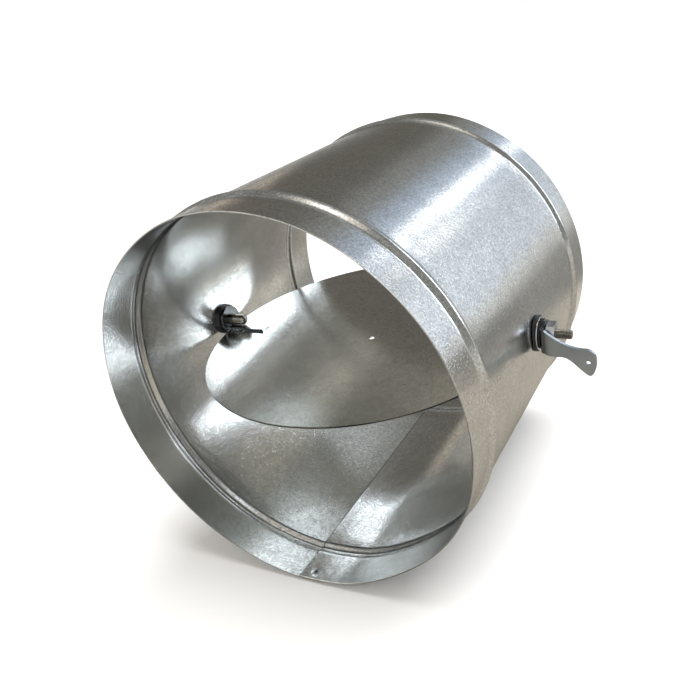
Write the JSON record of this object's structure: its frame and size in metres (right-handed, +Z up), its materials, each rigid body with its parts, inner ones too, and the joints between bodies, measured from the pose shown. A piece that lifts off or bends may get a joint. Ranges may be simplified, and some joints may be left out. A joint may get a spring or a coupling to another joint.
{
  "type": "round volume control damper",
  "caption": "Short round galvanised duct section with beaded ends and a disc blade on a cross shaft, turned by a side lever that a nut clamps.",
  "frame": {"origin": "on the duct's axis, halfway along the duct", "axes": "+X along the blade's shaft line, out through the wall on the lever side; +Y along the duct's axis, from the opening seen in the picture to the other one; +Z up, square to both, with the duct's lapped seam at the bottom"},
  "size_m": [0.2994, 0.248, 0.2541],
  "materials": {
    "galvanised_sheet": "spangled zinc, semi-gloss",
    "galvanised_blade": "spangled zinc, semi-gloss",
    "zinc_plate": "zinc plated, satin",
    "bright_zinc": "zinc plated, bright",
    "plain_steel": "turned bar, bare",
    "black_nylon": "satin moulded nylon",
    "black_rubber": "matt"
  },
  "bodies": {
    "duct": {"casing": "galvanised_sheet", "drive_inner_bush": "black_nylon", "drive_outer_bush": "black_nylon", "idle_inner_bush": "black_nylon", "idle_outer_bush": "black_nylon"},
    "blade_set": {"blade": "galvanised_blade", "drive_bracket": "zinc_plate", "drive_inner_washer": "bright_zinc", "drive_plain_washer": "bright_zinc", "drive_rubber_washer": "black_rubber", "drive_shaft": "plain_steel", "idle_bracket": "zinc_plate", "idle_inner_washer": "bright_zinc", "idle_nut": "bright_zinc", "idle_pin": "plain_steel", "idle_plain_washer": "bright_zinc", "idle_rubber_washer": "black_rubber", "lever": "zinc_plate", "lock_nut": "bright_zinc"}
  },
  "joints": [
    {"name": "blade_turn", "type": "hinge", "parent": "duct", "child": "blade_set", "pos_m": [0, -0.0035, 0.0055], "axis": [1, 0, 0], "range_deg": [-93.2, 0]}
  ]
}
